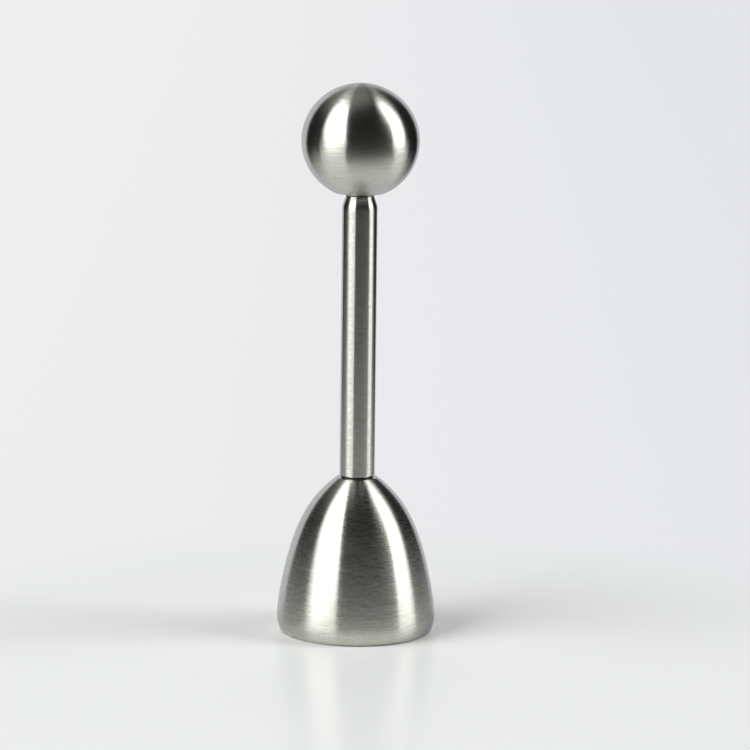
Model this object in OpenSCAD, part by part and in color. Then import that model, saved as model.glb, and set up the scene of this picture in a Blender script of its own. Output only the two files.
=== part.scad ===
// Spring-loaded egg topper. A steel bell sits over the end of an egg, a slim barrel stands on
// it, and a ball on a sprung rod is pulled up and let go, so that the rod's striker hits an
// anvil at the barrel's foot and the bell's rim cracks the shell in a ring.
// The origin is the centre of the rim, in the plane that the bell stands on, and +Z runs up
// the one axis that every piece shares. Threads are drawn as plain cylinders.

/* [Bell] */
// Diameter at the belly, the bell's widest place
bell_d = 40.6; // [36:0.1:48]
// Height from the rim to the landing that carries the barrel
bell_h = 40; // [34:0.5:50]
// Height of the belly above the rim
belly_z = 4; // [2.5:0.1:6]
// How far the wall curls in from the belly down to the rim
lip_curl = 0.9; // [0.3:0.05:1.5]
// Radius that breaks the rim's outer edge
rim_round = 0.5; // [0.2:0.05:0.7]
// Thickness of the pressed wall
bell_wall = 1.2; // [0.8:0.1:1.8]
// Share of the narrowing that is a gentle taper, the rest being the round shoulder
taper_share = 0.59; // [0.4:0.01:0.8]
// Power of the gentle taper's curve
taper_power = 1.45; // [1.2:0.05:2]
// Power of the round shoulder's curve
shoulder_power = 5.6; // [4:0.1:7]
// Width of the flat ledge that is left round the barrel's foot
landing_ledge = 0.65; // [0.4:0.05:1.5]

/* [Barrel] */
// Outer diameter of the tube
barrel_d = 9; // [8.4:0.1:11]
// Length from the foot to the top of the neck
barrel_len = 72.3; // [60:0.1:100]
// Wall of the tube, kept through the neck
barrel_wall = 0.8; // [0.6:0.05:1]
// Radius that breaks the foot's outer edge
foot_round = 0.4; // [0.2:0.05:0.6]
// Length of the drawn-in taper
neck_taper = 2.6; // [2.2:0.1:5]
// Length of the straight neck above the taper
neck_len = 0.4; // [0.4:0.1:2]

/* [Ball and rod] */
// Diameter of the ball across its waist
ball_d = 30; // [24:0.5:36]
// Height that the ball would have without its flat, a little less than its diameter
ball_h = 29.2; // [24:0.1:36]
// Diameter of the flat faced on its underside
ball_flat_d = 12.8; // [10:0.1:18]
// Gap between that flat and the neck at rest
ball_gap = 0.7; // [0.4:0.05:1.5]
// Diameter of the rod
rod_d = 4; // [3.5:0.1:4.6]
// Depth of the rod's thread in the ball
rod_grip = 10; // [7:0.5:13]
// Depth of the drilled hole past the rod's end
drill_run_out = 1.5; // [0.5:0.1:3]

/* [Striker and anvil] */
// Length of the striker
striker_len = 16; // [12:0.5:22]
// Depth of the rod's seat in the striker
striker_grip = 11; // [8:0.5:11.5]
// Diameter of the pin across the striker and the rod
pin_d = 1.5; // [1:0.1:2]
// How far the pin's ends lie below the striker's side
pin_inset = 0.15; // [0.05:0.05:0.4]
// Length of the anvil plug in the barrel
plug_len = 8; // [5:0.5:12]
// Chamfer on the edges of the turned pieces
edge_break = 0.4; // [0.2:0.05:0.5]

/* [Spring] */
// How far the ball can be pulled up
travel = 20; // [12:0.5:24]
// Diameter of the spring wire
wire_d = 0.7; // [0.5:0.05:0.8]
// Room for each turn when the ball is fully up, as a multiple of the wire
turn_room = 1.5; // [1.3:0.05:2]
// Turns that are closed up at each end
end_turns = 1.5; // [1:0.25:2]
// Pitch of the closed-up turns
end_pitch = 1.15; // [1.1:0.05:1.4]
// Thickness of the washers at the spring's ends
seat_t = 0.5; // [0.4:0.1:1]

/* [Guide bush] */
// Wall of the bush round the rod
bush_wall = 0.75; // [0.5:0.05:0.85]
// Thickness of the flange under the neck's taper
bush_flange_t = 2.5; // [1:0.1:3.5]
// How far the bush stops below the top of the neck
bush_inset = 0.3; // [0.1:0.05:0.5]

/* [Bell fastening] */
// Diameter of the stud
stud_d = 4; // [3:0.1:5]
// Diameter of the flat washer inside the bell
washer_d = 9; // [8:0.1:10]
// Thickness of that washer
washer_t = 0.8; // [0.5:0.1:1.2]
// Diameter of the split lock washer
lock_washer_d = 7.6; // [7:0.1:8.6]
// Thickness of the lock washer
lock_washer_t = 0.9; // [0.6:0.1:1.2]
// Width of the split in the lock washer
lock_split = 0.8; // [0.5:0.1:1.5]
// Size across the flats of the cap nut
nut_flats = 7; // [6.6:0.1:9]
// Height of the nut's hexagon
nut_hex_h = 3.2; // [2.5:0.1:5]
// Diameter of the nut's dome
nut_dome_d = 6.5; // [6:0.1:6.6]
// Height of the whole nut
nut_h = 8; // [7.5:0.1:11]
// Depth of the nut's thread
nut_thread = 5.5; // [4:0.1:5.8]
// How far the stud stops short of the thread's end
stud_short = 0.3; // [0.1:0.1:1]
// Thickness of the dark spacer under the barrel
spacer_t = 0.45; // [0.3:0.05:1]
// How far the spacer lies in from the barrel's side
spacer_inset = 0.4; // [0.2:0.05:0.6]

/* [Clearances] */
// Gap all round a pressed or threaded seat
seat_clearance = 0.02; // [0.01:0.01:0.03]
// Gap all round the rod in its bush
rod_clearance = 0.05; // [0.02:0.01:0.1]
// Gap all round the striker in the barrel
striker_clearance = 0.1; // [0.05:0.01:0.15]
// Gap all round the spring in the barrel
spring_clearance = 0.4; // [0.3:0.05:0.5]
// Gap between the spring's washers and the barrel
seat_play = 0.2; // [0.1:0.05:0.3]
// Gap between a loose washer and what passes through it
hole_play = 0.15; // [0.1:0.05:0.25]

/* [Hidden] */
$fn = 96;

// Steps along the profiles of the bell, the ball, a quarter round and the neck
BELL_STEPS = 36;
BALL_STEPS = 36;
ROUND_STEPS = 6;
NECK_STEPS = 10;
// Rings in one turn of the spring, and sides of its wire
TURN_RINGS = 8;
WIRE_SIDES = 6;
// Slant of the cut through the split lock washer
LOCK_SLANT = 20;
// What a cutting solid runs past the face that it opens
PAST = 1;

bell_r = bell_d / 2;
barrel_r = barrel_d / 2;
landing_r = barrel_r + landing_ledge;
bore_r = barrel_r - barrel_wall;

rod_r = rod_d / 2;
rod_bore_r = rod_r + rod_clearance;
neck_bore_r = rod_bore_r + bush_wall + seat_clearance;
neck_r = neck_bore_r + barrel_wall;

// Heights, from the bell's landing up
barrel_z = bell_h + spacer_t;
anvil_z = barrel_z + plug_len;
striker_top_z = anvil_z + striker_len;
spring_z = striker_top_z + seat_t;
barrel_top_z = barrel_z + barrel_len;
neck_z = barrel_top_z - neck_len - neck_taper;
bush_z = neck_z - bush_flange_t;
spring_top_z = bush_z - seat_t;
ball_flat_z = barrel_top_z + ball_gap;
ball_flat_angle = asin(ball_flat_d / ball_d);
ball_z = ball_flat_z + ball_h / 2 * cos(ball_flat_angle);

// Heights, from the bell's landing down
landing_in_z = bell_h - bell_wall;
lock_washer_z = landing_in_z - washer_t - lock_washer_t;
stud_end_z = lock_washer_z - nut_thread + stud_short;

stud_r = stud_d / 2;
stud_hole_r = stud_r + hole_play;
striker_r = bore_r - striker_clearance;
pin_z = striker_top_z - striker_grip / 2;
pin_len = 2 * (striker_r - pin_inset);

spring_len = spring_top_z - spring_z;
coil_r = bore_r - spring_clearance - wire_d / 2;
coil_len = spring_len - wire_d - 2 * seat_clearance;
spring_turns = floor((spring_len - travel) / (wire_d * turn_room));
open_pitch = (coil_len - 2 * end_turns * end_pitch) / (spring_turns - 2 * end_turns);

// Rise from each ring of the coil to the one a full turn later
turn_rises = [
    for (i = [0 : (spring_turns - 1) * TURN_RINGS])
        coil_rise(i / TURN_RINGS + 1) - coil_rise(i / TURN_RINGS)
];

echo(least_gap_between_turns = min(turn_rises) - wire_d);
echo(overall_height = ball_z + ball_h / 2);

// ---- Curves ----

// How far a quarter round of radius r lies in from its side, at height h above its flat
function round_in(r, h) = h >= r ? 0 : r - sqrt(r * r - pow(r - h, 2));

// Share of the bell's height above the belly
function bell_share(z) = (z - belly_z) / (bell_h - belly_z);

// Outer radius of the bell at height z: a parabola curls in below the belly, and above it a
// gentle taper and a late round shoulder add up
function bell_outer(z) =
    z < belly_z
    ? bell_r - lip_curl * pow(1 - z / belly_z, 2)
    : bell_r - (bell_r - landing_r) * (
        taper_share * pow(bell_share(z), taper_power)
        + (1 - taper_share) * pow(bell_share(z), shoulder_power)
    );

// How steeply that radius falls with height
function bell_fall(z) =
    z < belly_z
    ? -2 * lip_curl * (1 - z / belly_z) / belly_z
    : (bell_r - landing_r) / (bell_h - belly_z) * (
        taper_share * taper_power * pow(bell_share(z), taper_power - 1)
        + (1 - taper_share) * shoulder_power * pow(bell_share(z), shoulder_power - 1)
    );

// The inner face's point that lies one wall in from the outer face at height z
function bell_inner_point(z) =
    let (tilt = atan(bell_fall(z)))
    [bell_outer(z) - bell_wall * cos(tilt), z - bell_wall * sin(tilt)];

// Outer radius of the barrel at height z: straight, then a half cosine wave into the neck
function barrel_outer(z) =
    let (t = min(max((z - neck_z) / neck_taper, 0), 1))
    neck_r + (barrel_r - neck_r) * (1 + cos(180 * t)) / 2;

// Height of the coil's centre line after t turns: closed turns, open turns, closed turns
function coil_rise(t) =
    t < end_turns ? t * end_pitch
    : t > spring_turns - end_turns ? coil_len - (spring_turns - t) * end_pitch
    : end_turns * end_pitch + (t - end_turns) * open_pitch;

// ---- Shapes that repeat ----

// A flat ring from height z up
module ring(z, t, inner_r, outer_r) {
    translate([0, 0, z])
        difference() {
            cylinder(h = t, r = outer_r);
            translate([0, 0, -PAST])
                cylinder(h = t + 2 * PAST, r = inner_r);
        }
}

// A round bar from height z up, with a chamfer at each end
module bar(z, h, r, low_break, high_break) {
    translate([0, 0, z])
        rotate_extrude()
            polygon([
                [0, 0],
                [r - low_break, 0],
                [r, low_break],
                [r, h - high_break],
                [r - high_break, h],
                [0, h]
            ]);
}

// A round bar across the axis, where the pin goes through the striker and the rod
module cross_bar(length, r) {
    translate([0, 0, pin_z])
        rotate([0, 90, 0])
            cylinder(h = length, r = r, center = true);
}

// ---- Pieces that stand still ----

module bell() {
    rounds = [for (i = [0 : ROUND_STEPS]) rim_round * (1 - cos(90 * i / ROUND_STEPS))];
    climbs = [for (i = [1 : BELL_STEPS]) rim_round + (bell_h - rim_round) * i / BELL_STEPS];
    heights = concat(rounds, climbs);
    color("silver")
        difference() {
            rotate_extrude()
                polygon(concat(
                    [[0, 0]],
                    [for (z = heights) [bell_outer(z) - round_in(rim_round, z), z]],
                    [[0, bell_h]]
                ));
            rotate_extrude()
                polygon(concat(
                    [[0, -PAST], [bell_inner_point(0)[0], -PAST]],
                    [
                        for (i = [0 : BELL_STEPS])
                            let (p = bell_inner_point(bell_h * i / BELL_STEPS))
                            [p[0], min(p[1], landing_in_z)]
                    ],
                    [[0, landing_in_z]]
                ));
            spot_face();
            translate([0, 0, landing_in_z - PAST])
                cylinder(h = bell_wall + 2 * PAST, r = stud_hole_r);
        }
}

// Room that is faced under the landing for the washers
module spot_face() {
    translate([0, 0, lock_washer_z])
        cylinder(h = landing_in_z - lock_washer_z, r = washer_d / 2 + hole_play);
}

module spacer_washer() {
    color("dimgray")
        ring(bell_h, spacer_t, stud_hole_r, barrel_r - spacer_inset);
}

module anvil_plug() {
    color("gray") {
        bar(barrel_z, plug_len, bore_r - seat_clearance, edge_break, edge_break);
        bar(stud_end_z, barrel_z - stud_end_z + edge_break, stud_r, edge_break, 0);
    }
}

module inner_washer() {
    color("silver")
        ring(landing_in_z - washer_t, washer_t, stud_hole_r, washer_d / 2);
}

module lock_washer() {
    color("gray")
        difference() {
            ring(lock_washer_z, lock_washer_t, stud_hole_r, lock_washer_d / 2);
            translate([lock_washer_d / 4, 0, lock_washer_z + lock_washer_t / 2])
                rotate([LOCK_SLANT, 0, 0])
                    cube([lock_washer_d / 2, lock_split, 3 * lock_washer_t], center = true);
        }
}

// Its hexagon faces up against the lock washer, and its dome hangs below
module cap_nut() {
    corner_r = nut_flats / 2 / cos(30);
    dome_r = nut_dome_d / 2;
    nut_z = lock_washer_z - nut_h;
    color("silver")
        difference() {
            union() {
                translate([0, 0, lock_washer_z - nut_hex_h])
                    intersection() {
                        cylinder(h = nut_hex_h, r = corner_r, $fn = 6);
                        bar(0, nut_hex_h, corner_r, edge_break, edge_break);
                    }
                translate([0, 0, nut_z + dome_r])
                    cylinder(h = nut_h - dome_r - nut_hex_h / 2, r = dome_r);
                translate([0, 0, nut_z + dome_r])
                    sphere(r = dome_r);
            }
            translate([0, 0, lock_washer_z - nut_thread])
                cylinder(h = nut_thread + PAST, r = stud_r + seat_clearance);
        }
}

module barrel() {
    foot = [for (i = [0 : ROUND_STEPS]) foot_round * (1 - cos(90 * i / ROUND_STEPS))];
    neck = [for (i = [0 : NECK_STEPS]) neck_z + neck_taper * i / NECK_STEPS];
    color("silver")
        rotate_extrude()
            polygon(concat(
                [for (h = foot) [barrel_r - round_in(foot_round, h), barrel_z + h]],
                [for (z = neck) [barrel_outer(z), z]],
                [[neck_r, barrel_top_z], [neck_bore_r, barrel_top_z]],
                [for (i = [NECK_STEPS : -1 : 0]) [barrel_outer(neck[i]) - barrel_wall, neck[i]]],
                [[bore_r, barrel_z]]
            ));
}

// Its outside follows the barrel's bore and the inside of the neck
module guide_bush() {
    neck = [for (i = [0 : NECK_STEPS]) neck_z + neck_taper * i / NECK_STEPS];
    gap = barrel_wall + seat_clearance;
    bush_top_z = barrel_top_z - bush_inset;
    color("dimgray")
        rotate_extrude()
            polygon(concat(
                [[rod_bore_r, bush_z], [bore_r - seat_clearance, bush_z]],
                [for (z = neck) [barrel_outer(z) - gap, z - seat_clearance]],
                [[neck_r - gap, bush_top_z], [rod_bore_r, bush_top_z]]
            ));
}

module upper_washer() {
    color("silver")
        ring(spring_top_z, seat_t, rod_r + hole_play, bore_r - seat_play);
}

// One unbroken wire of WIRE_SIDES sides along a helix, with its ends closed up
module return_spring() {
    rings = spring_turns * TURN_RINGS;
    first_z = spring_z + seat_clearance + wire_d / 2;
    points = [
        for (i = [0 : rings], j = [0 : WIRE_SIDES - 1])
            let (
                turn = 360 * i / TURN_RINGS,
                side = 30 + 360 * j / WIRE_SIDES,
                out = coil_r + wire_d / 2 * cos(side),
                up = first_z + coil_rise(i / TURN_RINGS) + wire_d / 2 * sin(side)
            )
            [out * cos(turn), out * sin(turn), up]
    ];
    skin = [
        for (i = [0 : rings - 1], j = [0 : WIRE_SIDES - 1])
            let (
                a = i * WIRE_SIDES + j,
                b = i * WIRE_SIDES + (j + 1) % WIRE_SIDES,
                c = a + WIRE_SIDES,
                d = b + WIRE_SIDES
            )
            each [[a, d, b], [a, c, d]]
    ];
    last = rings * WIRE_SIDES;
    caps = [
        for (j = [1 : WIRE_SIDES - 2])
            each [[0, j, j + 1], [last, last + j + 1, last + j]]
    ];
    color("darkgray")
        polyhedron(points = points, faces = concat(skin, caps), convexity = 10);
}

// ---- Pieces that are pulled up ----

module spring_seat() {
    color("silver")
        ring(striker_top_z, seat_t, rod_r + hole_play, bore_r - seat_play);
}

module striker() {
    color("gray")
        difference() {
            bar(anvil_z, striker_len, striker_r, edge_break, edge_break);
            translate([0, 0, striker_top_z - striker_grip])
                cylinder(h = striker_grip + PAST, r = rod_r + seat_clearance);
            cross_bar(2 * striker_r + 2 * PAST, pin_d / 2);
        }
}

module striker_pin() {
    color("darkgray")
        cross_bar(pin_len, pin_d / 2 - seat_clearance);
}

module plunger_rod() {
    foot_z = striker_top_z - striker_grip;
    color("silver")
        difference() {
            bar(foot_z, ball_flat_z + rod_grip - foot_z, rod_r, edge_break, edge_break);
            cross_bar(2 * striker_r, pin_d / 2);
        }
}

// Its profile is an ellipse from the flat's edge up to the top
module ball() {
    step = (180 - ball_flat_angle) / BALL_STEPS;
    angles = [for (i = [0 : BALL_STEPS]) ball_flat_angle + step * i];
    color("silver")
        difference() {
            rotate_extrude()
                polygon(concat(
                    [[0, ball_flat_z]],
                    [for (a = angles) [ball_d / 2 * sin(a), ball_z - ball_h / 2 * cos(a)]]
                ));
            translate([0, 0, ball_flat_z - PAST])
                cylinder(h = PAST + rod_grip + drill_run_out, r = rod_r + seat_clearance);
        }
}

bell();
spacer_washer();
anvil_plug();
inner_washer();
lock_washer();
cap_nut();
barrel();
guide_bush();
upper_washer();
return_spring();
spring_seat();
striker();
striker_pin();
plunger_rod();
ball();
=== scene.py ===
"""Looks of the spring-loaded egg topper: steel bell, slim barrel, ball on a sprung rod.

Sizes are in millimetres, mostly under the names that the part's source gives them, and become
metres where a mesh is made. Most pieces are profiles of (radius, height) carried round the Z
axis. The stage is in metres.
"""

import math

import bpy
import numpy as np
from mathutils import Matrix, Vector


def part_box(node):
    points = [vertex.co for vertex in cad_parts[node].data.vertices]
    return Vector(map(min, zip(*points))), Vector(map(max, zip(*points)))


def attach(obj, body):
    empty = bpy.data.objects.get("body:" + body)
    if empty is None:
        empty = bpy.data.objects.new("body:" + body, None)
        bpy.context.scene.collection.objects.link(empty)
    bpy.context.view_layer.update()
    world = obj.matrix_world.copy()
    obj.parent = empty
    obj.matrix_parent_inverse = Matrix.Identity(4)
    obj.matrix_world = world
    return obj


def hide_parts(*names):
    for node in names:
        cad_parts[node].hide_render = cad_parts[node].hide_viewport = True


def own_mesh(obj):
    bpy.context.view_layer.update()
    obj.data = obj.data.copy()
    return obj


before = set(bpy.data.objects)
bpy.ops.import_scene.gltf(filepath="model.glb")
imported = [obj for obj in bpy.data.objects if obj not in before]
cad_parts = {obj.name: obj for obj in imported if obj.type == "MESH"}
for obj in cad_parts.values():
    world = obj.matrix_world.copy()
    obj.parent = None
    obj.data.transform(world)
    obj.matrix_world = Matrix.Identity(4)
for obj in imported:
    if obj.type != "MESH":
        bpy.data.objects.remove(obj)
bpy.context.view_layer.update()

MM = 0.001

# ---- Sizes, in millimetres ----

BELL_R, BELL_H, BELLY_Z, LIP_CURL = 20.3, 40.0, 4.0, 0.9
RIM_ROUND, BELL_WALL, LANDING_LEDGE = 0.5, 1.2, 0.65
TAPER_SHARE, TAPER_POWER, SHOULDER_POWER = 0.59, 1.45, 5.6
BARREL_R, BARREL_LEN, BARREL_WALL, FOOT_ROUND = 4.5, 72.3, 0.8, 0.4
NECK_TAPER, NECK_LEN = 2.6, 0.4
BALL_R, BALL_H, BALL_FLAT_R, BALL_GAP = 15.0, 29.2, 6.4, 0.7
ROD_R, ROD_GRIP, DRILL_RUN_OUT = 2.0, 10.0, 1.5
PLUG_LEN, STRIKER_LEN, EDGE_BREAK = 8.0, 16.0, 0.4
TRAVEL, WIRE_D, TURN_ROOM, END_TURNS, END_PITCH = 20.0, 0.7, 1.5, 1.5, 1.15
SEAT_T, BUSH_WALL, BUSH_FLANGE_T, BUSH_INSET = 0.5, 0.75, 2.5, 0.3
STUD_R, WASHER_R, WASHER_T = 2.0, 4.5, 0.8
LOCK_R, LOCK_T, LOCK_SPLIT, LOCK_SLANT = 3.8, 0.9, 0.8, math.radians(20)
NUT_FLATS, NUT_HEX_H, NUT_DOME_R, NUT_H, NUT_THREAD, STUD_SHORT = 7.0, 3.2, 3.25, 8.0, 5.5, 0.3
SPACER_T, SPACER_INSET = 0.45, 0.4
SEAT_CLEARANCE, ROD_CLEARANCE, SPRING_CLEARANCE = 0.02, 0.05, 0.4
SEAT_PLAY, HOLE_PLAY = 0.2, 0.15

LANDING_R = BARREL_R + LANDING_LEDGE
BORE_R = BARREL_R - BARREL_WALL
ROD_BORE_R = ROD_R + ROD_CLEARANCE
NECK_BORE_R = ROD_BORE_R + BUSH_WALL + SEAT_CLEARANCE
NECK_R = NECK_BORE_R + BARREL_WALL
STUD_HOLE_R = STUD_R + HOLE_PLAY

# Heights from the bell's landing up, then from the landing down
BARREL_Z = BELL_H + SPACER_T
ANVIL_Z = BARREL_Z + PLUG_LEN
STRIKER_TOP_Z = ANVIL_Z + STRIKER_LEN
SPRING_Z = STRIKER_TOP_Z + SEAT_T
BARREL_TOP_Z = BARREL_Z + BARREL_LEN
NECK_Z = BARREL_TOP_Z - NECK_LEN - NECK_TAPER
BUSH_Z = NECK_Z - BUSH_FLANGE_T
SPRING_TOP_Z = BUSH_Z - SEAT_T
BALL_FLAT_Z = BARREL_TOP_Z + BALL_GAP
BALL_FLAT_ANGLE = math.asin(BALL_FLAT_R / BALL_R)
BALL_Z = BALL_FLAT_Z + BALL_H / 2 * math.cos(BALL_FLAT_ANGLE)
LANDING_IN_Z = BELL_H - BELL_WALL
LOCK_WASHER_Z = LANDING_IN_Z - WASHER_T - LOCK_T
STUD_END_Z = LOCK_WASHER_Z - NUT_THREAD + STUD_SHORT

SPRING_LEN = SPRING_TOP_Z - SPRING_Z
COIL_R = BORE_R - SPRING_CLEARANCE - WIRE_D / 2
COIL_LEN = SPRING_LEN - WIRE_D - 2 * SEAT_CLEARANCE
SPRING_TURNS = math.floor((SPRING_LEN - TRAVEL) / (WIRE_D * TURN_ROOM))
OPEN_PITCH = (COIL_LEN - 2 * END_TURNS * END_PITCH) / (SPRING_TURNS - 2 * END_TURNS)

# ---- Finer form than the solids have, in millimetres unless a comment says otherwise ----

# Edge breaks: the spring's washers, turned pieces, stamped pieces, the bell and the barrel, the
# edge of the bell's landing, and the edge of the ball's flat
THIN_EDGE, TURNED_EDGE, STAMPED_EDGE, TUBE_EDGE = 0.05, 0.06, 0.07, 0.08
LANDING_EDGE, FLAT_EDGE = 0.12, 0.15
# How far under the landing the bell's curve stops, and the power that crowds its points there
LANDING_ROOM, CROWDING = 0.35, 1.25
# How far the barrel's straight side stays from the foot's rounding and from the neck
FOOT_ROOM, SHOULDER_ROOM = 0.08, 1.0
# The neck's cone: how far up the taper it starts, how far under the top it ends, how much wider
# than the neck it is there, and the edge breaks at its start and its end
CONE_START, CONE_END, CONE_OVER = 0.4, 0.42, 0.04
CONE_START_EDGE, CONE_END_EDGE = 0.9, 0.3
# How far from the hexagon a ring of points keeps the dome's side straight, and the angle past
# the edge of the ball's flat at which the oval starts, in radians
DOME_HOLD, OVAL_START = 0.05, 0.03
# Over how many turns the spring changes its pitch
EASE_TURNS = 0.5

# Columns round a turned piece, and points along a profile: a quarter round, the hexagon's
# chamfer, the nut's dome, the neck's taper, the barrel's side, and the bell's inside and outside
ROUND = 240
QUARTER_POINTS, CHAMFER_POINTS, DOME_POINTS, TAPER_POINTS, TUBE_POINTS = 9, 8, 30, 26, 32
INSIDE_POINTS, OUTSIDE_POINTS = 90, 120
# Points along the ball's oval and round the lock washer, and of the spring's wire, along each
# turn and round the wire
OVAL_POINTS, LOCK_POINTS, COIL_POINTS, WIRE_POINTS = 150, 160, 40, 14
# Points along a softened corner, how far out its flats are held, as a share of its edge break,
# and how close two points of a profile are taken as one
CORNER_POINTS, FLAT_HOLD, SAME_POINT = 7, 1.5, 1e-6
# The largest angle that still shades as one surface
CREASE = math.radians(32)

# The turn of each column, in radians
FULL_TURN = np.linspace(0, 2 * np.pi, ROUND, endpoint=False)


# ---- Surfaces ----

def surface(name, points, closed):
    """A grid of points in millimetres becomes a mesh. Columns always close into rings. Rows
    close too where the profile is a loop; otherwise the first and last rows shrink to one
    point each. The UV map holds the length along the rows in metres, then turns."""
    rows, cols = points.shape[:2]
    ids = np.arange(rows * cols).reshape(rows, cols)
    vertices = points.reshape(-1, 3)
    if not closed:
        ids = np.clip(ids - (cols - 1), 0, None)
        ids[0], ids[-1] = 0, (rows - 2) * cols + 1
        vertices = vertices[cols - 1:(rows - 1) * cols + 1]
        vertices[0] = points[0].mean(axis=0)
        vertices[-1] = points[-1].mean(axis=0)
        low, high = ids[:-1], ids[1:]
    else:
        low, high = ids, np.roll(ids, -1, axis=0)
    corners = np.stack([low, np.roll(low, -1, 1), np.roll(high, -1, 1), high], axis=-1)
    steps = np.linalg.norm(np.roll(points[:, 0], -1, 0) - points[:, 0], axis=1)
    length = np.concatenate([[0], np.cumsum(steps)]) * MM
    bands = corners.shape[0]
    u = np.stack([length[:bands], length[:bands], length[1:bands + 1], length[1:bands + 1]], -1)
    v = np.stack([np.arange(cols), np.arange(cols) + 1, np.arange(cols) + 1, np.arange(cols)], -1)
    uv = np.stack(np.broadcast_arrays(u[:, None], v[None] / cols), axis=-1).reshape(-1, 4, 2)
    corners = corners.reshape(-1, 4)
    keep = np.ones(corners.shape, bool)
    keep[corners[:, 0] == corners[:, 1], 1] = False
    keep[corners[:, 2] == corners[:, 3], 3] = False
    sizes = keep.sum(axis=1)

    mesh = bpy.data.meshes.new(name)
    mesh.vertices.add(len(vertices))
    mesh.vertices.foreach_set("co", (vertices * MM).astype(np.float32).ravel())
    mesh.loops.add(int(sizes.sum()))
    mesh.loops.foreach_set("vertex_index", corners[keep].astype(np.int32))
    mesh.polygons.add(len(sizes))
    mesh.polygons.foreach_set("loop_start", (np.cumsum(sizes) - sizes).astype(np.int32))
    mesh.polygons.foreach_set("use_smooth", np.ones(len(sizes), bool))
    layer = mesh.uv_layers.new(name="length_and_turns")
    layer.data.foreach_set("uv", uv[keep].astype(np.float32).ravel())
    mesh.update(calc_edges=True)
    mesh.validate()
    mesh.set_sharp_from_angle(angle=CREASE)
    piece = bpy.data.objects.new(name, mesh)
    bpy.context.scene.collection.objects.link(piece)
    return piece


def soft_corners(points, breaks):
    """Rounds the corners of a profile. Each corner gives way to a parabola that leaves one side
    and joins the next at the corner's own distance, and one more point half that distance
    further out at each end keeps the flats flat. A corner of distance 0 stays as it is."""
    points = np.asarray(points, float)
    t = np.linspace(0, 1, CORNER_POINTS)
    weight_before = np.concatenate([[FLAT_HOLD], (1 - t) ** 2, [0]])[None, :, None]
    weight_after = np.concatenate([[0], t**2, [FLAT_HOLD]])[None, :, None]
    before = np.roll(points, 1, axis=0) - points
    after = np.roll(points, -1, axis=0) - points
    before /= np.linalg.norm(before, axis=1, keepdims=True)
    after /= np.linalg.norm(after, axis=1, keepdims=True)
    reach = np.asarray(breaks, float)[:, None, None]
    arcs = points[:, None] + reach * (
        before[:, None] * weight_before + after[:, None] * weight_after)
    arcs = arcs.reshape(-1, 2)
    apart = np.linalg.norm(arcs - np.roll(arcs, 1, axis=0), axis=1) > SAME_POINT
    return arcs[apart]


def carried_round(radius, height, turn):
    """Points round the axis: x is the radius times the cosine of the turn, and y the radius times
    its sine."""
    return np.stack(np.broadcast_arrays(
        radius * np.cos(turn), radius * np.sin(turn), height), axis=-1)


def turned(name, profile, closed=True):
    """A profile of (radius, height) is carried all the way round the axis."""
    return surface(name, carried_round(profile[:, :1], profile[:, 1:], FULL_TURN), closed)


def round_in(radius, height):
    """How far a quarter round lies in from its side, at a height above its flat: its radius less
    the leg of a right triangle."""
    return radius - np.sqrt(radius**2 - np.clip(radius - height, 0, None) ** 2)


def quarter(radius):
    """Heights of points spread evenly by angle over a quarter round."""
    return radius * (1 - np.cos(np.linspace(0, np.pi / 2, QUARTER_POINTS)))


def with_breaks(*stretches):
    """Joins stretches of a profile, each a list of points and one edge break for all of them."""
    points = [np.atleast_2d(np.asarray(stretch, float)) for stretch, _ in stretches]
    breaks = [np.full(len(p), b, float) for p, (_, b) in zip(points, stretches)]
    return soft_corners(np.concatenate(points), np.concatenate(breaks))


def washer(name, z, thickness, inner_r, outer_r, edge):
    """A flat ring: a rectangle of radius by height with its four corners softened."""
    return turned(name, with_breaks((
        [(inner_r, z), (outer_r, z), (outer_r, z + thickness), (inner_r, z + thickness)], edge)))


# ---- The bell and what fastens it ----

def bell_outer(z):
    """Radius of the bell's outside at height z: a parabola curls in below the belly, and above
    it a gentle power curve and a steep one for the shoulder add up."""
    share = np.clip((z - BELLY_Z) / (BELL_H - BELLY_Z), 0, None)
    below = BELL_R - LIP_CURL * (1 - z / BELLY_Z) ** 2
    above = BELL_R - (BELL_R - LANDING_R) * (
        TAPER_SHARE * share**TAPER_POWER + (1 - TAPER_SHARE) * share**SHOULDER_POWER)
    return np.where(z < BELLY_Z, below, above)


def bell_fall(z):
    """How steeply that radius falls with height: the same curve's slope."""
    share = np.clip((z - BELLY_Z) / (BELL_H - BELLY_Z), 0, None)
    below = -2 * LIP_CURL * (1 - z / BELLY_Z) / BELLY_Z
    above = (BELL_R - LANDING_R) / (BELL_H - BELLY_Z) * (
        TAPER_SHARE * TAPER_POWER * share ** (TAPER_POWER - 1)
        + (1 - TAPER_SHARE) * SHOULDER_POWER * share ** (SHOULDER_POWER - 1))
    return np.where(z < BELLY_Z, below, above)


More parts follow.
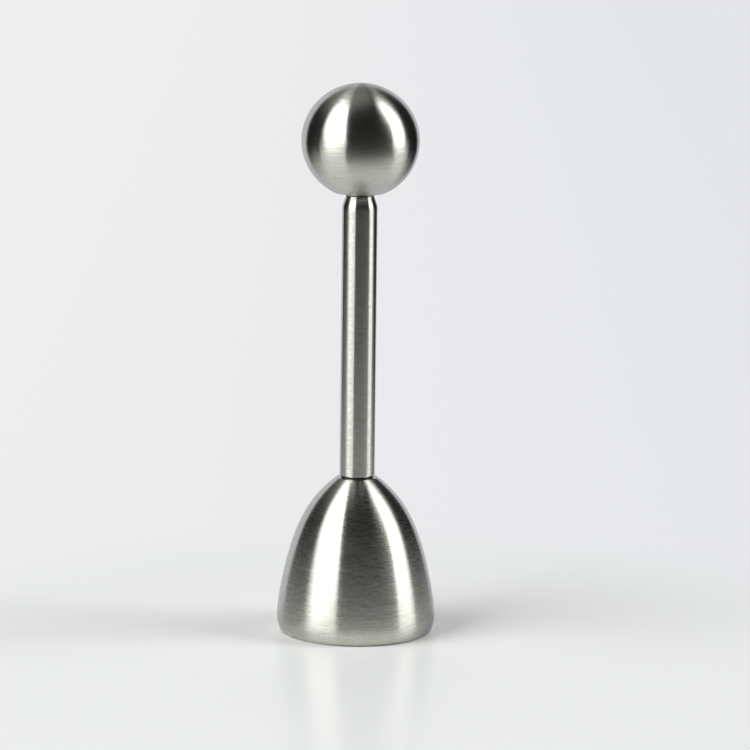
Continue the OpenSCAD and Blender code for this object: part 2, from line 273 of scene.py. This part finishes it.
def make_bell():
    """The outside climbs from the rim, crosses the landing to the stud's hole, and comes back
    down inside, one wall in from the outer curve and square to it."""
    climb = 1 - (1 - np.linspace(0, 1, OUTSIDE_POINTS)) ** CROWDING
    heights = np.concatenate([
        quarter(RIM_ROUND), RIM_ROUND + (BELL_H - LANDING_ROOM - RIM_ROUND) * climb[1:]])
    outside = np.column_stack([bell_outer(heights) - round_in(RIM_ROUND, heights), heights])
    outside[:, 0] = np.minimum(outside[:, 0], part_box("bell")[1][0] / MM)
    down = np.linspace(BELL_H, 0, INSIDE_POINTS)
    tilt = np.arctan(bell_fall(down))
    inside = np.column_stack([
        bell_outer(down) - BELL_WALL * np.cos(tilt),
        np.minimum(down - BELL_WALL * np.sin(tilt), LANDING_IN_Z)])
    profile = with_breaks(
        (outside, 0),
        ([(LANDING_R, BELL_H)], LANDING_EDGE),
        ([(STUD_HOLE_R, BELL_H), (STUD_HOLE_R, LANDING_IN_Z)], TUBE_EDGE),
        (inside, 0),
        ([(inside[-1, 0], 0)], TUBE_EDGE))
    return turned("bell_shell", profile)


def make_anvil_plug():
    """A plug with a stud below it, both chamfered, as one stepped profile."""
    plug_r = BORE_R - SEAT_CLEARANCE
    profile = with_breaks(
        ([(0, STUD_END_Z)], 0),
        ([(STUD_R - EDGE_BREAK, STUD_END_Z), (STUD_R, STUD_END_Z + EDGE_BREAK)], TURNED_EDGE),
        ([(STUD_R, BARREL_Z)], 0),
        ([(plug_r - EDGE_BREAK, BARREL_Z), (plug_r, BARREL_Z + EDGE_BREAK),
          (plug_r, ANVIL_Z - EDGE_BREAK), (plug_r - EDGE_BREAK, ANVIL_Z)], TURNED_EDGE),
        ([(0, ANVIL_Z)], 0))
    return turned("anvil", profile, closed=False)


def make_lock_washer():
    """A softened rectangle of (radius, height) is carried round from one side of a slanted cut
    to the other. At each point of the rectangle the cut's plane gives the first and last turn:
    the arcsine of the plane's y over the radius."""
    low, high = LOCK_WASHER_Z, LOCK_WASHER_Z + LOCK_T
    section = with_breaks((
        [(STUD_HOLE_R, low), (STUD_HOLE_R, high), (LOCK_R, high), (LOCK_R, low)], STAMPED_EDGE))
    radius, height = section[:, 0], section[:, 1]
    slant = (height - low - LOCK_T / 2) * np.sin(LOCK_SLANT)
    first = np.arcsin((LOCK_SPLIT / 2 - slant) / np.cos(LOCK_SLANT) / radius)
    last = 2 * np.pi - np.arcsin((LOCK_SPLIT / 2 + slant) / np.cos(LOCK_SLANT) / radius)
    along = np.concatenate([[0], np.linspace(0, 1, LOCK_POINTS), [1]])[:, None]
    turn = first + (last - first) * along
    return surface("split_lock_washer", carried_round(radius, height, turn), closed=False)


def make_cap_nut():
    """From the dome's tip up over the dome, out across the hexagon's underside, up its flats and
    back down the thread's hole. The hexagon's radius at each turn is half the flats over the
    cosine of the angle from the nearest flat's middle, and a cone trims its corners."""
    tip_z = LOCK_WASHER_Z - NUT_H
    hex_z = LOCK_WASHER_Z - NUT_HEX_H
    thread_end_z = LOCK_WASHER_Z - NUT_THREAD
    corner_r = NUT_FLATS / 2 / math.cos(math.pi / 6)
    hexagon = NUT_FLATS / 2 / np.cos(FULL_TURN % (np.pi / 3) - np.pi / 6)
    angle = np.linspace(0, np.pi / 2, DOME_POINTS)
    dome = np.column_stack([NUT_DOME_R * np.sin(angle), tip_z + NUT_DOME_R * (1 - np.cos(angle))])
    rises = np.linspace(0, EDGE_BREAK, CHAMFER_POINTS)
    cone = corner_r - EDGE_BREAK + rises
    low = np.column_stack([cone, hex_z + rises])
    high = np.column_stack([cone[::-1], LOCK_WASHER_Z - rises[::-1]])
    hole_r = STUD_R + SEAT_CLEARANCE
    lathe = np.concatenate([
        dome, [(NUT_DOME_R, hex_z - DOME_HOLD), (NUT_DOME_R, hex_z)], low, high,
        [(hole_r, LOCK_WASHER_Z), (hole_r, thread_end_z), (0, thread_end_z)]])
    radius = np.minimum(lathe[:, :1], hexagon)
    return surface("domed_nut", carried_round(radius, lathe[:, 1:], FULL_TURN), closed=False)


# ---- The barrel and what it holds ----

NECK_HEIGHTS = np.linspace(NECK_Z, NECK_Z + NECK_TAPER, TAPER_POINTS)


def barrel_outer(z):
    """Radius of the barrel's outside at height z: straight, then half a cosine wave into the
    neck."""
    t = np.clip((z - NECK_Z) / NECK_TAPER, 0, 1)
    return NECK_R + (BARREL_R - NECK_R) * (1 + np.cos(np.pi * t)) / 2


def make_barrel():
    """Up the outside from the rounded foot, over a long shoulder and up a cone to the neck's
    lip, and down one wall further in."""
    foot = quarter(FOOT_ROUND)
    straight = np.linspace(
        BARREL_Z + FOOT_ROUND + FOOT_ROOM, NECK_Z - SHOULDER_ROOM, TUBE_POINTS)
    inside = np.column_stack([barrel_outer(NECK_HEIGHTS) - BARREL_WALL, NECK_HEIGHTS])
    profile = with_breaks(
        (np.column_stack([BARREL_R - round_in(FOOT_ROUND, foot), BARREL_Z + foot]), 0),
        (np.column_stack([barrel_outer(straight), straight]), 0),
        ([(BARREL_R, NECK_Z + CONE_START)], CONE_START_EDGE),
        ([(NECK_R + CONE_OVER, BARREL_TOP_Z - CONE_END)], CONE_END_EDGE),
        ([(NECK_R, BARREL_TOP_Z), (NECK_BORE_R, BARREL_TOP_Z)], TUBE_EDGE),
        (inside[::-1], 0),
        ([(BORE_R, BARREL_Z)], TUBE_EDGE))
    return turned("barrel_tube", profile)


def make_guide_bush():
    """Follows the barrel's bore and the inside of the neck, and comes down the rod's bore."""
    gap = BARREL_WALL + SEAT_CLEARANCE
    top_z = BARREL_TOP_Z - BUSH_INSET
    profile = with_breaks(
        ([(ROD_BORE_R, BUSH_Z), (BORE_R - SEAT_CLEARANCE, BUSH_Z)], TURNED_EDGE),
        (np.column_stack([barrel_outer(NECK_HEIGHTS) - gap, NECK_HEIGHTS - SEAT_CLEARANCE]), 0),
        ([(NECK_R - gap, top_z), (ROD_BORE_R, top_z)], TURNED_EDGE))
    return turned("rod_bush", profile)


def make_return_spring():
    """A round wire along a helix. The rise for each turn eases from the closed pitch to the open
    one, as a smooth step, and back again, and its running sum is the height."""
    turns = np.linspace(0, SPRING_TURNS, COIL_POINTS * SPRING_TURNS + 1)
    inward = np.minimum(turns, SPRING_TURNS - turns)
    ease = np.clip((inward - END_TURNS) / EASE_TURNS + 0.5, 0, 1)
    pitch = END_PITCH + (OPEN_PITCH - END_PITCH) * ease**2 * (3 - 2 * ease)
    rise = np.concatenate([[0], np.cumsum((pitch[1:] + pitch[:-1]) / 2 * np.diff(turns))])
    rise *= COIL_LEN / rise[-1]
    centre_z = SPRING_Z + SEAT_CLEARANCE + WIRE_D / 2 + rise
    side = np.linspace(0, 2 * np.pi, WIRE_POINTS, endpoint=False)
    ring = np.concatenate([[0], np.arange(len(turns)), [len(turns) - 1]])
    size = np.ones(len(ring))
    size[[0, -1]] = 0
    turn = 2 * np.pi * turns[ring][:, None]
    out = COIL_R + WIRE_D / 2 * size[:, None] * np.cos(side)
    up = centre_z[ring][:, None] - WIRE_D / 2 * size[:, None] * np.sin(side)
    return surface("coil_spring", carried_round(out, up, turn), closed=False)


# ---- The ball ----

def make_ball():
    """From the end of the drilled hole down to the flat, out to its edge and over an ellipse:
    half the width times the sine, and less half the height times the cosine, of the angle from
    the bottom."""
    hole_r = ROD_R + SEAT_CLEARANCE
    hole_z = BALL_FLAT_Z + ROD_GRIP + DRILL_RUN_OUT
    angle = np.linspace(BALL_FLAT_ANGLE + OVAL_START, np.pi, OVAL_POINTS)
    oval = np.column_stack([BALL_R * np.sin(angle), BALL_Z - BALL_H / 2 * np.cos(angle)])
    oval[:, 1] = np.minimum(oval[:, 1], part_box("ball")[1][2] / MM)
    profile = with_breaks(
        ([(0, hole_z), (hole_r, hole_z)], 0),
        ([(hole_r, BALL_FLAT_Z), (BALL_FLAT_R, BALL_FLAT_Z)], FLAT_EDGE),
        (oval, 0))
    return turned("ball_knob", profile, closed=False)


# ---- Materials ----

# Steel seen edge-on mirrors a little less, and cooler, than steel seen face-on
EDGE_TINT = "DFE2EA"
# A noise pattern seldom leaves these bounds
NOISE_LOW, NOISE_HIGH = 0.3, 0.7
# Brushing: the pitch that its grooves are drawn at and the pitch of the broad bands over them,
# in millimetres, how many times a turn each changes, how far a groove shifts the roughness, and
# how deep it is, in millimetres
GROOVE_PITCH, BAND_PITCH, GROOVE_ARCS, BAND_ARCS = 0.2, 2.2, 30, 3
GROOVE_ROUGH, GROOVE_DEPTH = 0.018, 0.00013


def linear(colour):
    """An sRGB hex colour as linear light: a straight line at the dark end, a power above it."""
    parts = np.array([int(colour[i:i + 2], 16) for i in (0, 2, 4)]) / 255
    parts = np.where(parts <= 0.04045, parts / 12.92, ((parts + 0.055) / 1.055) ** 2.4)
    return (*(float(part) for part in parts), 1.0)


def add(tree, kind, sockets=(), **settings):
    """Adds a node with its settings. A socket given a socket is linked, and else set."""
    made = tree.nodes.new(kind)
    for name, value in settings.items():
        setattr(made, name, value)
    for socket, value in dict(sockets).items():
        if isinstance(value, bpy.types.NodeSocket):
            tree.links.new(value, made.inputs[socket])
        else:
            made.inputs[socket].default_value = value
    return made


def reckon(tree, operation, first, second, **settings):
    """Two numbers make one, by the operation named."""
    return add(tree, "ShaderNodeMath", {
        0: first, 1: second}, operation=operation, **settings).outputs[0]


def reckon_vectors(tree, operation, *vectors):
    """Vectors make one vector by the operation named, or one number by a length or a product."""
    made = add(tree, "ShaderNodeVectorMath", dict(enumerate(vectors)), operation=operation)
    return made.outputs["Value" if operation in ("LENGTH", "DOT_PRODUCT") else "Vector"]


def smooth_step(tree, value, start, end):
    """Goes from 0 at the start to 1 at the end, and levels out at both."""
    return add(tree, "ShaderNodeMapRange", {
        "Value": value, "From Min": start, "From Max": end},
        interpolation_type="SMOOTHSTEP").outputs[0]


def blend(tree, share, first, second):
    """A first colour gives way to a second by a share."""
    return add(tree, "ShaderNodeMix", {
        0: share, 6: first, 7: second}, data_type="RGBA").outputs[2]


def relief(tree, pattern, strength, depth):
    """A pattern stands for heights of up to depth millimetres."""
    return add(tree, "ShaderNodeBump", {
        "Height": pattern, "Strength": strength, "Distance": depth * MM}).outputs[0]


def new_material(name):
    """An empty node material."""
    material = bpy.data.materials.new(name)
    material.use_nodes = True
    material.node_tree.nodes.clear()
    return material


def finish_material(material, shader):
    """Joins the shader to the material's output."""
    add(material.node_tree, "ShaderNodeOutputMaterial", {"Surface": shader.outputs[0]})
    return material


def lathe_rings(tree, pitch, arcs, detail=2.0):
    """Rings left by a lathe: noise over radius and height with a grain of pitch millimetres,
    which changes slowly round the axis, about arcs times a turn."""
    place = add(tree, "ShaderNodeTexCoord").outputs["Object"]
    flat = reckon_vectors(tree, "MULTIPLY", place, (1, 1, 0))
    radius = reckon_vectors(tree, "LENGTH", flat)
    heading = reckon_vectors(tree, "NORMALIZE", flat)
    heading = add(tree, "ShaderNodeSeparateXYZ", {0: heading})
    height = add(tree, "ShaderNodeSeparateXYZ", {0: place}).outputs["Z"]
    slow = arcs / (2 * math.pi) * pitch * MM
    across = reckon(tree, "MULTIPLY", heading.outputs["X"], slow)
    vector = add(tree, "ShaderNodeCombineXYZ", {"X": radius, "Y": height, "Z": across})
    turn = reckon(tree, "MULTIPLY", heading.outputs["Y"], slow)
    return add(tree, "ShaderNodeTexNoise", {
        "Vector": vector.outputs[0], "W": turn, "Scale": 1 / (pitch * MM), "Detail": detail,
        "Roughness": 0.6}, noise_dimensions="4D").outputs[0]


def smudges(tree, size):
    """Soft patches of about size millimetres, as handling leaves them."""
    place = add(tree, "ShaderNodeTexCoord").outputs["Object"]
    return add(tree, "ShaderNodeTexNoise", {
        "Vector": place, "Scale": 1 / (size * MM), "Detail": 1.0},
        noise_dimensions="3D").outputs[0]


def spread(tree, value, low, high, start=NOISE_LOW, end=NOISE_HIGH):
    """Takes the part of a pattern from start to end over to low to high."""
    return add(tree, "ShaderNodeMapRange", {
        "Value": value, "From Min": start, "From Max": end,
        "To Min": low, "To Max": high}).outputs[0]


def around(tree, value, middle, swing):
    """Takes a pattern over to a number that swings as far below a middle as above it."""
    return spread(tree, value, middle - swing, middle + swing)


def shade(tree, value, dark, light, start=NOISE_LOW, end=NOISE_HIGH):
    """Takes the part of a pattern from start to end over to a dark and a light colour."""
    return blend(tree, spread(tree, value, 0, 1, start, end), linear(dark), linear(light))


def brushed_stainless(name, rough_low, rough_high):
    """Stainless steel brushed round with a fine abrasive on a lathe. The grooves run round the
    piece, so a lamp's reflection smears up and down it, and stays narrow sideways. The real
    grooves are about 0.05 mm apart, and are drawn coarser, near a pixel in the picture."""
    material = new_material(name)
    tree = material.node_tree
    rings = lathe_rings(tree, pitch=GROOVE_PITCH, arcs=GROOVE_ARCS)
    bands = lathe_rings(tree, pitch=BAND_PITCH, arcs=BAND_ARCS)
    rough = reckon(tree, "ADD", around(tree, rings, middle=0, swing=GROOVE_ROUGH),
                   spread(tree, bands, rough_low, rough_high))
    grooves = relief(tree, rings, strength=0.5, depth=GROOVE_DEPTH)
    tangent = add(tree, "ShaderNodeTangent", direction_type="UV_MAP", uv_map="length_and_turns")
    shader = add(tree, "ShaderNodeBsdfPrincipled", {
        "Base Color": shade(tree, rings, "B9B8B0", "D6D5CD"), "Metallic": 1.0,
        "Roughness": rough, "Anisotropic": 0.95, "Specular Tint": linear(EDGE_TINT),
        "Normal": grooves, "Tangent": tangent.outputs[0]})
    return finish_material(material, shader)


def turned_stainless(name, pitch, rough, dark, light, depth):
    """Stainless steel as a lathe tool or a grinding wheel leaves it: even rings of one pitch,
    bright, and blurred the same way all round."""
    material = new_material(name)
    tree = material.node_tree
    rings = lathe_rings(tree, pitch=pitch, arcs=2, detail=1.0)
    grooves = relief(tree, rings, strength=0.5, depth=depth)
    shader = add(tree, "ShaderNodeBsdfPrincipled", {
        "Base Color": shade(tree, rings, dark, light), "Metallic": 1.0,
        "Roughness": around(tree, rings, middle=rough, swing=0.04), "Normal": grooves})
    return finish_material(material, shader)


def tumbled_stainless():
    """Stainless fasteners tumbled bright in a barrel of chips: no direction, small soft dents
    and a slightly uneven shine."""
    material = new_material("tumbled_stainless")
    tree = material.node_tree
    dents = smudges(tree, size=0.5)
    patches = smudges(tree, size=2.5)
    soft_dents = relief(tree, dents, strength=0.4, depth=0.01)
    shader = add(tree, "ShaderNodeBsdfPrincipled", {
        "Base Color": shade(tree, patches, "C4C2BA", "CECCC4"), "Metallic": 1.0,
        "Roughness": spread(tree, patches, low=0.17, high=0.27), "Normal": soft_dents})
    return finish_material(material, shader)


def spring_wire():
    """Stainless spring wire, drawn and heat treated: darker and browner than the rest, with
    faint scuffs along it."""
    material = new_material("drawn_spring_wire")
    tree = material.node_tree
    scuffs = smudges(tree, size=0.35)
    grooves = relief(tree, scuffs, strength=0.4, depth=0.006)
    shader = add(tree, "ShaderNodeBsdfPrincipled", {
        "Base Color": shade(tree, scuffs, "A8A396", "B8B4AA"), "Metallic": 1.0,
        "Roughness": spread(tree, scuffs, low=0.24, high=0.36), "Normal": grooves})
    return finish_material(material, shader)


def black_plastic(name, pitch, rough):
    """Black acetal or nylon, turned: a dull dark surface with faint tool rings."""
    material = new_material(name)
    tree = material.node_tree
    rings = lathe_rings(tree, pitch=pitch, arcs=2, detail=1.0)
    grooves = relief(tree, rings, strength=0.3, depth=0.01)
    shader = add(tree, "ShaderNodeBsdfPrincipled", {
        "Base Color": shade(tree, rings, "141414", "1E1E1D"),
        "Roughness": around(tree, rings, middle=rough, swing=0.05), "IOR": 1.48,
        "Normal": grooves})
    return finish_material(material, shader)


# ---- Pieces: each stands for its node, rides on a body and takes a finish ----

BELL_STEEL = brushed_stainless("brushed_stainless_bell", rough_low=0.262, rough_high=0.285)
BALL_STEEL = brushed_stainless("brushed_stainless_ball", rough_low=0.24, rough_high=0.25)
TUBE_STEEL = brushed_stainless("brushed_stainless_tube", rough_low=0.245, rough_high=0.255)
ROD_STEEL = turned_stainless(
    "ground_stainless_rod", pitch=0.2, rough=0.16, dark="CCCBC5", light="D4D3CE", depth=0.003)
TURNED_STEEL = turned_stainless(
    "turned_stainless", pitch=0.35, rough=0.22, dark="BEBCB4", light="CAC8C0", depth=0.010)
FASTENER_STEEL = tumbled_stainless()
SPRING_STEEL = spring_wire()
BUSH_BLACK = black_plastic("black_acetal_turned", pitch=0.3, rough=0.42)
SPACER_BLACK = black_plastic("black_nylon_washer", pitch=0.25, rough=0.5)

SEAT_IN_R = ROD_R + HOLE_PLAY
SEAT_OUT_R = BORE_R - SEAT_PLAY

PIECES = [
    (make_bell(), "bell", "housing", "bell_steel", BELL_STEEL),
    (washer("spacer_ring", BELL_H, SPACER_T, STUD_HOLE_R, BARREL_R - SPACER_INSET, TURNED_EDGE),
     "spacer_washer", "housing", "spacer_nylon", SPACER_BLACK),
    (make_anvil_plug(), "anvil_plug", "housing", "turned_steel", TURNED_STEEL),
    (washer("flat_washer", LANDING_IN_Z - WASHER_T, WASHER_T, STUD_HOLE_R, WASHER_R,
            STAMPED_EDGE),
     "inner_washer", "housing", "fastener_steel", FASTENER_STEEL),
    (make_lock_washer(), "lock_washer", "housing", "fastener_steel", FASTENER_STEEL),
    (make_cap_nut(), "cap_nut", "housing", "fastener_steel", FASTENER_STEEL),
    (make_barrel(), "barrel", "housing", "barrel_steel", TUBE_STEEL),
    (make_guide_bush(), "guide_bush", "housing", "bush_acetal", BUSH_BLACK),
    (washer("top_spring_washer", SPRING_TOP_Z, SEAT_T, SEAT_IN_R, SEAT_OUT_R, THIN_EDGE),
     "upper_washer", "housing", "fastener_steel", FASTENER_STEEL),
    (make_return_spring(), "return_spring", "housing", "spring_steel", SPRING_STEEL),
    (washer("low_spring_washer", STRIKER_TOP_Z, SEAT_T, SEAT_IN_R, SEAT_OUT_R, THIN_EDGE),
     "spring_seat", "seat", "fastener_steel", FASTENER_STEEL),
    (make_ball(), "ball", "plunger", "ball_steel", BALL_STEEL),
]
for piece, node_name, body, slot_name, material in PIECES:
    piece.data.materials.append(material)
    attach(piece, body)
    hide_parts(node_name)

# The spring shortens towards its upper washer as the ball is pulled; here it only gets a mesh of
# its own
spring = bpy.data.objects["coil_spring"]
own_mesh(spring)

# The striker, its pin and the rod keep their exact solids
CAD_LOOKS = {"striker": TURNED_STEEL, "striker_pin": FASTENER_STEEL, "plunger_rod": ROD_STEEL}
for node_name, material in CAD_LOOKS.items():
    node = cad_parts[node_name]
    node.data.materials.clear()
    node.data.materials.append(material)


# ---- The table, the room and the lamps ----

# Colours of the laminate, of the dark that the steel mirrors past the table's edges, and of the
# dark room and the grey ceiling over it
LAMINATE, PAST_TABLE, ROOM, CEILING = "F6F8F7", "2A2A2A", "242424", "929390"
# The pale colour that the camera sees far from the object, at its left and its right, and the
# backdrop's colour. The fall from the lighter left to the darker right is painted shade
PALE_LEFT, PALE_RIGHT, PALE = "EFEFF0", "E5E6E8", "EBEBEC"
# How far to each side of the object the painted shade's change from left to right takes on the
# table, in metres, and how far to each side of straight ahead it takes past the table, as a sine
PALE_REACH, PALE_TURN = 0.16, 0.04
# The table's sheet: half its side in metres, and how far it lies below the rim in millimetres
SHEET_HALF, SHEET_DROP = 3.0, 0.02
# Where the lit table starts to give way to the pale colour and where it has done so, and how far
# in front of the axis those two circles have their centre, in metres
LIT_R, FAR_R, LIT_SHIFT = 0.085, 0.17, 0.04
# How far the steel sees the table reach at the sides and at the front, in metres, and the
# shares of that reach where the table starts to fade and is gone
TABLE_SIDE, TABLE_FRONT, FADE_START, FADE_END = 0.30, 0.18, 0.5, 1.5
# Sectors round the object, each its azimuth and half the angle that it spans, in degrees: the
# table's parts under the left and the right lamp, which don't fade, and the backdrop. Azimuth 0
# is towards the camera, and a positive one is to the right of it
LEFT_SECTOR, RIGHT_SECTOR, BACKDROP = (-58.0, 28.0), (90.0, 17.0), (-172.5, 41.5)
# How wide the soft edge of those parts and of the backdrop is, in degrees, and how fast the
# backdrop gives way as a heading climbs
SECTOR_SOFT, BACKDROP_SOFT, BACKDROP_DROP = 4, 9, 0.1
# The heading that the ceiling is brightest along, and the cosines of the angles from it where
# the ceiling starts and is in full
CEILING_HEADING, CEILING_START, CEILING_FULL = (-0.25, 0.3, 0.92), 0.76, 0.96
# The radiance of both softboxes, and three fades of it, each the share of the light that is left
# at a start and at an end, and that start and end: near the foot and near the top, by height in
# metres, and near the outer side, by share of the width
RADIANCE = 4.8
FOOT_FADE, TOP_FADE, SIDE_FADE = (0.48, 1, 0.12, 1.1), (1, 0.08, 1.6, 2.9), (0.2, 1, 0, 0.2)


def near_azimuth(tree, heading, azimuth, half, soft, drop=0.0):
    """Goes from 0 to 1 where a heading comes within half degrees of an azimuth: a smooth step
    of its cosine, soft degrees wide. The drop takes away as a heading climbs."""
    turn = math.radians(azimuth)
    middle = (math.sin(turn), -math.cos(turn), -drop)
    outer, inner = (math.cos(math.radians(half + side * soft / 2)) for side in (1, -1))
    return smooth_step(tree, reckon_vectors(tree, "DOT_PRODUCT", heading, middle), outer, inner)


def make_floor():
    """One flat sheet just under the rim: a square of two by two points."""
    mesh = bpy.data.meshes.new("table_top")
    signs = [(-1, -1), (1, -1), (1, 1), (-1, 1)]
    corners = [(x * SHEET_HALF, y * SHEET_HALF, -SHEET_DROP * MM) for x, y in signs]
    mesh.from_pydata(corners, [], [(0, 1, 2, 3)])
    floor = bpy.data.objects.new("table_top", mesh)
    bpy.context.scene.collection.objects.link(floor)
    return floor


def table_laminate():
    """A white laminate table, semi-gloss: it takes the object's shadow and a faint blurred
    reflection. Far from the object the camera sees the plain pale colour, and so does the steel
    towards the backdrop. Elsewhere the steel mirrors the dark room past the table's rounded
    front and sides, apart from where the table runs on under a lamp."""
    material = new_material("white_laminate")
    tree = material.node_tree
    place = add(tree, "ShaderNodeTexCoord").outputs["Object"]
    path = add(tree, "ShaderNodeLightPath")
    lit = add(tree, "ShaderNodeBsdfPrincipled", {
        "Base Color": linear(LAMINATE), "Roughness": 0.28, "Specular IOR Level": 0.07})
    # Painted shade: the pale colour grows darker from the left to the right
    side = add(tree, "ShaderNodeSeparateXYZ", {0: place}).outputs["X"]
    pale = shade(tree, side, PALE_LEFT, PALE_RIGHT, -PALE_REACH, PALE_REACH)
    plain = add(tree, "ShaderNodeEmission", {"Color": pale, "Strength": 1.0})
    dark = add(tree, "ShaderNodeBsdfDiffuse", {"Color": linear(PAST_TABLE)})

    heading = reckon_vectors(tree, "NORMALIZE", place)
    back = near_azimuth(tree, heading, *BACKDROP, soft=BACKDROP_SOFT)
    left = near_azimuth(tree, heading, *LEFT_SECTOR, soft=SECTOR_SOFT)
    right = near_azimuth(tree, heading, *RIGHT_SECTOR, soft=SECTOR_SOFT)

    away = reckon_vectors(tree, "ADD", place, (0, LIT_SHIFT, 0))
    far = smooth_step(tree, reckon_vectors(tree, "LENGTH", away), LIT_R, FAR_R)
    mirrored = reckon(tree, "MULTIPLY", path.outputs["Is Glossy Ray"], back)
    looks = reckon(tree, "MAXIMUM", path.outputs["Is Camera Ray"], mirrored)
    far = reckon(tree, "MULTIPLY", far, looks)
    table = add(tree, "ShaderNodeMixShader", {0: far, 1: lit.outputs[0], 2: plain.outputs[0]})

    reach = reckon_vectors(tree, "MULTIPLY", place, (1 / TABLE_SIDE, 1 / TABLE_FRONT, 0))
    past = spread(tree, reckon_vectors(tree, "LENGTH", reach), 0, 1, FADE_START, FADE_END)
    for kept in (back, left, right, path.outputs["Is Camera Ray"]):
        past = reckon(tree, "SUBTRACT", past, kept, use_clamp=True)
    shader = add(tree, "ShaderNodeMixShader", {0: past, 1: table.outputs[0], 2: dark.outputs[0]})
    return finish_material(material, shader)


def studio_world():
    """The room as the steel mirrors it: a pale backdrop behind the object, a grey ceiling over
    it and a dark room elsewhere. The camera itself sees the pale colour that the table gives way
    to."""
    world = bpy.data.worlds.new("studio")
    world.use_nodes = True
    tree = world.node_tree
    tree.nodes.clear()
    heading = add(tree, "ShaderNodeTexCoord").outputs["Generated"]
    behind = near_azimuth(tree, heading, *BACKDROP, soft=BACKDROP_SOFT, drop=BACKDROP_DROP)
    above = reckon_vectors(tree, "DOT_PRODUCT", heading, CEILING_HEADING)
    above = smooth_step(tree, above, CEILING_START, CEILING_FULL)
    room = blend(tree, above, linear(ROOM), linear(CEILING))
    room = blend(tree, behind, room, linear(PALE))
    path = add(tree, "ShaderNodeLightPath")
    # Painted shade: the pale colour that the camera sees grows darker from the left to the right
    side = add(tree, "ShaderNodeSeparateXYZ", {0: heading}).outputs["X"]
    pale = shade(tree, side, PALE_LEFT, PALE_RIGHT, -PALE_TURN, PALE_TURN)
    seen = blend(tree, path.outputs["Is Camera Ray"], room, pale)
    light = add(tree, "ShaderNodeBackground", {"Color": seen, "Strength": 1.0})
    add(tree, "ShaderNodeOutputWorld", {"Surface": light.outputs[0]})
    return world


def softbox(name, azimuth, width, length, middle, lean):
    """A softbox a metre from the axis that faces it, its middle at a height in metres. It leans
    sideways by an angle, and fades towards its ends and its outer side, as a real one does. Its
    power is pi times its area times its radiance."""
    lamp = bpy.data.lights.new(name, "AREA")
    lamp.shape = "RECTANGLE"
    lamp.size, lamp.size_y = width, length
    lamp.energy = math.pi * width * length * RADIANCE
    lamp.use_nodes = True
    tree = lamp.node_tree
    tree.nodes.clear()
    spot = add(tree, "ShaderNodeNewGeometry")
    height = add(tree, "ShaderNodeSeparateXYZ", {0: spot.outputs["Position"]}).outputs["Z"]
    across = add(tree, "ShaderNodeSeparateXYZ", {0: spot.outputs["Parametric"]}).outputs["X"]
    if azimuth > 0:
        across = reckon(tree, "SUBTRACT", 1.0, across)
    glow = spread(tree, height, *FOOT_FADE)
    for fade in (spread(tree, height, *TOP_FADE), spread(tree, across, *SIDE_FADE)):
        glow = reckon(tree, "MULTIPLY", glow, fade)
    glow = add(tree, "ShaderNodeEmission", {"Strength": glow})
    add(tree, "ShaderNodeOutputLight", {"Surface": glow.outputs[0]})
    turn = math.radians(azimuth)
    place = Vector((math.sin(turn), -math.cos(turn), 0))
    box = bpy.data.objects.new(name, lamp)
    box.location = place + Vector((0, 0, middle))
    box.rotation_euler = ((-place).to_track_quat("-Z", "Y").to_matrix()
                          @ Matrix.Rotation(math.radians(lean), 3, "Z")).to_euler()
    box.visible_camera = False
    bpy.context.scene.collection.objects.link(box)
    return box


floor = make_floor()
floor.data.materials.append(table_laminate())
bpy.context.scene.world = studio_world()
softbox("softbox_left", azimuth=-71, width=1.08, length=3.1, middle=1.55, lean=17)
softbox("softbox_right", azimuth=92, width=0.60, length=2.9, middle=1.45, lean=-8)


# ---- Camera, fitted to the photograph ----

camera = bpy.data.objects.new("camera", bpy.data.cameras.new("camera"))
camera.data.sensor_width = 36.0
camera.data.lens = 204.3
camera.data.clip_start = 0.05
camera.data.clip_end = 20.0
camera.location = (0.0043, -1.068, 0.2631)
# The camera looks down 10.43 degrees from level, and leans by the roll
PITCH, ROLL = math.radians(90 - 10.43), math.radians(0.65)
aim = Matrix.Rotation(PITCH, 4, "X") @ Matrix.Rotation(ROLL, 4, "Z")
camera.rotation_euler = aim.to_euler()
bpy.context.scene.collection.objects.link(camera)
bpy.context.scene.camera = camera

bpy.context.scene.view_settings.view_transform = "Standard"
